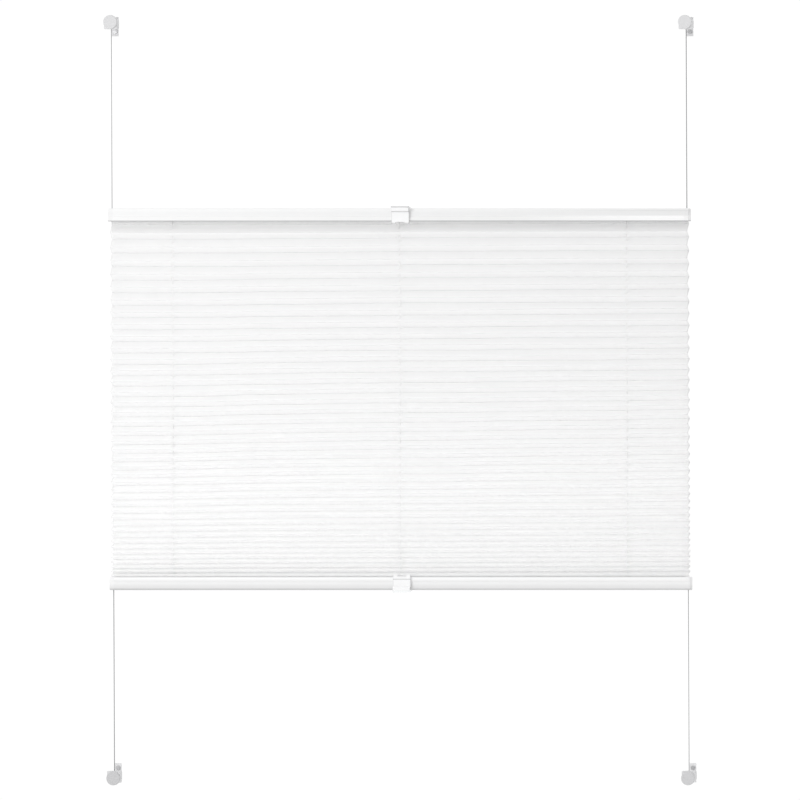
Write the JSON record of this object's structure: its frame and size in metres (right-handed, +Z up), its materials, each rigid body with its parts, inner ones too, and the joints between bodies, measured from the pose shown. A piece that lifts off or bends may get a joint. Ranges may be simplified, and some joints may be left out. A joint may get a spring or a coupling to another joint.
{
  "type": "pleated blind",
  "caption": "White pleated blind with a top and a bottom rail that slide on taut cords between clamp brackets at the corners of a window sash.",
  "frame": {"origin": "half way between the upper and lower brackets and between the left and right ones, in the plane of the sash's front face", "axes": "+X to the right along the rails, +Y towards the window, +Z up"},
  "size_m": [1.0134, 0.0519, 1.2934],
  "materials": {
    "rail_white": "satin white powder coat",
    "cap_white": "fine satin",
    "strip_plastic": "plain",
    "guide_plastic": "plain",
    "pleated_cloth": "smooth non-woven, slightly translucent",
    "clear_plastic": "clear, polished",
    "shoe_plastic": "satin",
    "disc_plastic": "satin",
    "bracket_plastic": "satin",
    "steel": "zinc plated",
    "cord_braid": "fine braid"
  },
  "bodies": {
    "window_side": {"top_left_clamp_bracket": "bracket_plastic", "top_left_tension_shoe": "shoe_plastic", "top_left_cover_disc": "disc_plastic", "top_right_clamp_bracket": "bracket_plastic", "top_right_tension_shoe": "shoe_plastic", "top_right_cover_disc": "disc_plastic", "bottom_left_clamp_bracket": "bracket_plastic", "bottom_left_tension_shoe": "shoe_plastic", "bottom_left_cover_disc": "disc_plastic", "bottom_right_clamp_bracket": "bracket_plastic", "bottom_right_tension_shoe": "shoe_plastic", "bottom_right_cover_disc": "disc_plastic", "clamp_screws": "steel", "left_upper_cord": "cord_braid", "left_lower_cord": "cord_braid", "right_upper_cord": "cord_braid", "right_lower_cord": "cord_braid", "centre_cord": "cord_braid", "pleated_fabric": "pleated_cloth"},
    "top_rail_set": {"top_rail": "rail_white", "top_left_end_cap": "cap_white", "top_right_end_cap": "cap_white", "top_fabric_strip": "strip_plastic", "top_handle": "clear_plastic", "top_left_cord_guide": "guide_plastic", "top_centre_cord_guide": "guide_plastic", "top_right_cord_guide": "guide_plastic"},
    "bottom_rail_set": {"bottom_rail": "rail_white", "bottom_left_end_cap": "cap_white", "bottom_right_end_cap": "cap_white", "bottom_fabric_strip": "strip_plastic", "bottom_handle": "clear_plastic", "left_tension_spring": "steel", "right_tension_spring": "steel", "bottom_left_cord_guide": "guide_plastic", "bottom_centre_cord_guide": "guide_plastic", "bottom_right_cord_guide": "guide_plastic"}
  },
  "joints": [
    {"name": "top_rail_slide", "type": "slide", "parent": "window_side", "child": "top_rail_set", "axis": [0, 0, 1], "range_m": [-0.34, 0.3], "deforming": ["pleated_fabric", "left_upper_cord", "right_upper_cord", "centre_cord"]},
    {"name": "bottom_rail_slide", "type": "slide", "parent": "window_side", "child": "bottom_rail_set", "axis": [0, 0, 1], "range_m": [-0.303, 0.175], "deforming": ["pleated_fabric", "left_upper_cord", "right_upper_cord", "centre_cord", "left_lower_cord", "right_lower_cord"]}
  ]
}
